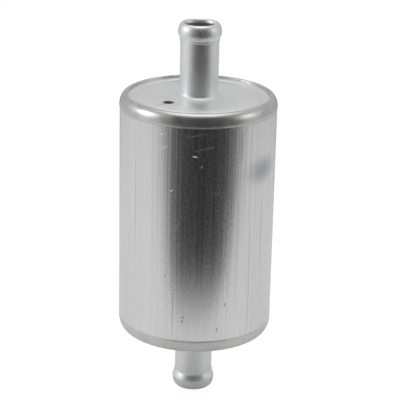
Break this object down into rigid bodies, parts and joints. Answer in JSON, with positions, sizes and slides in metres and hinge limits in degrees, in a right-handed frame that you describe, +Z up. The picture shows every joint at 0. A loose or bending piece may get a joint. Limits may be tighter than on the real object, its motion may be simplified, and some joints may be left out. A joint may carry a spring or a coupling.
{
  "type": "inline fuel filter",
  "caption": "Inline gas-phase fuel filter: a round aluminium tube rolled over two end caps, each with a beaded hose nozzle, around a spring-loaded pleated element.",
  "frame": {"origin": "centre of the outlet nozzle's end face, on the filter's axis, which is the lowest point as the filter stands", "axes": "+Z up along the filter's axis, from the outlet nozzle to the inlet nozzle; X and Y lie across it, with the inlet's flow mark towards -X -Y"},
  "size_m": [0.0502, 0.0502, 0.124],
  "materials": {
    "tube_aluminium": "bare extruded tube, semi-bright, with fine lengthwise die lines; burnished where the rims are rolled",
    "cap_aluminium": "bare, tumbled satin, fine speckled grain",
    "seal_rubber": "matte black",
    "steel": "zinc-flashed pressed sheet",
    "spring_steel": "oiled drawn wire",
    "tinplate": "satin tinned sheet",
    "filter_paper": "resin-cured, matte, fibrous",
    "band_tape": "woven glued tape",
    "screen_wire": "plain woven wire mesh",
    "potting": "cast potting compound, satin"
  },
  "bodies": {
    "housing": {"body_tube": "tube_aluminium", "inlet_cap": "cap_aluminium", "outlet_cap": "cap_aluminium", "inlet_o_ring": "seal_rubber", "outlet_o_ring": "seal_rubber", "spring_washer": "steel", "element_spring": "spring_steel"},
    "filter_element": {"guide_star": "steel", "closed_end_disc": "tinplate", "upper_potting": "potting", "pleated_media": "filter_paper", "seam_clip": "tinplate", "lower_pleat_band": "band_tape", "middle_pleat_band": "band_tape", "upper_pleat_band": "band_tape", "core_screen": "screen_wire", "perforated_core": "tinplate", "lower_potting": "potting", "open_end_disc": "tinplate", "outlet_gasket": "seal_rubber"}
  },
  "joints": [
    {"name": "element_float", "type": "slide", "parent": "housing", "child": "filter_element", "axis": [0, 0, 1], "range_m": [0, 0.0025], "stiffness_N_per_m": 540, "springref_m": -0.009, "deforming": ["element_spring"]}
  ]
}
